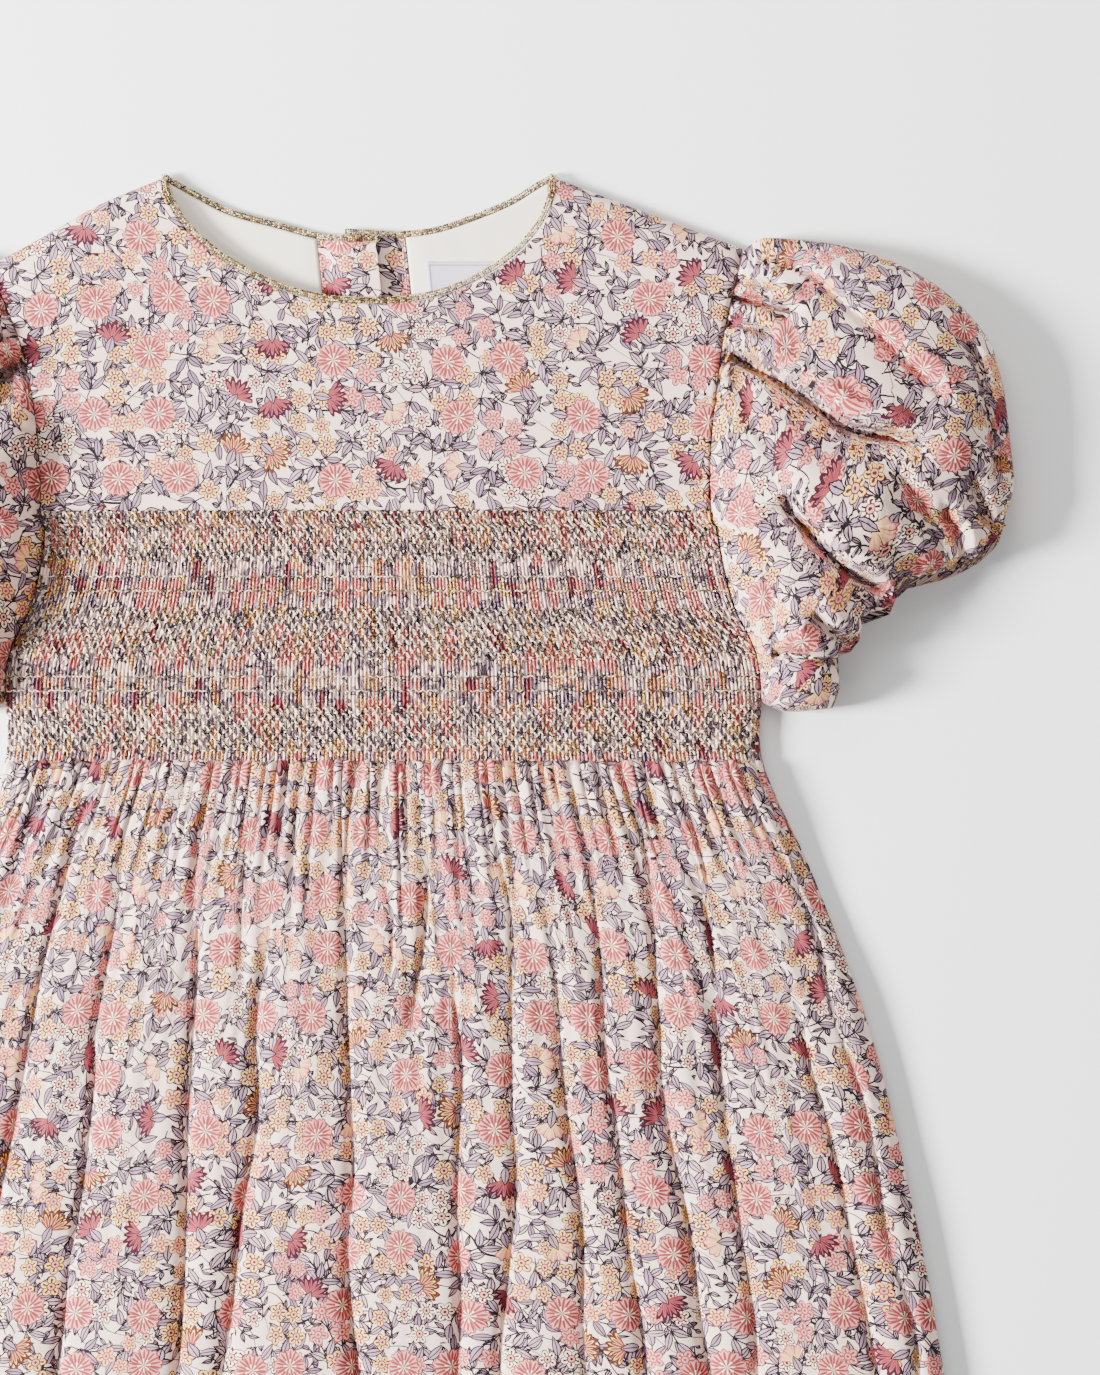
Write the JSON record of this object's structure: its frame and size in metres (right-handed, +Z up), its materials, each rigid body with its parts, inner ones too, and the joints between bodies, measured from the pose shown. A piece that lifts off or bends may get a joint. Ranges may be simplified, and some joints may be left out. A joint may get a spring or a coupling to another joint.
{
  "type": "smocked dress",
  "caption": "Child's short-sleeved dress laid flat on its back: plain yoke with a corded round neck, smocked chest band, puff sleeves and a long gathered skirt.",
  "frame": {"origin": "on the surface that the dress lies on, under the middle of its bounding box", "axes": "+Y from the hem to the neck, +X to the wearer's left sleeve, +Z up out of the front of the dress"},
  "size_m": [0.4918, 0.6341, 0.035],
  "materials": {
    "print_cotton": "soft woven cotton with a small flower print",
    "plain_lining": "plain off-white cotton",
    "metal_thread": "glossy metallic thread, pale gold",
    "label_weave": "smooth woven satin, pale lilac grey",
    "button_shell": "glossy, like mother of pearl"
  },
  "bodies": {
    "root": {"yoke_front": "print_cotton", "smocked_front": "print_cotton", "skirt_front": "print_cotton", "skirt_back": "print_cotton", "bodice_back_left": "print_cotton", "bodice_back_right": "print_cotton", "sleeve_left": "print_cotton", "sleeve_right": "print_cotton", "placket_left": "print_cotton", "placket_right": "print_cotton", "lining_back_left": "plain_lining", "lining_back_right": "plain_lining", "neck_piping_front": "metal_thread", "neck_piping_back_left": "metal_thread", "neck_piping_back_right": "metal_thread", "label": "label_weave", "button_1": "button_shell", "button_2": "button_shell", "button_3": "button_shell"}
  },
  "joints": []
}
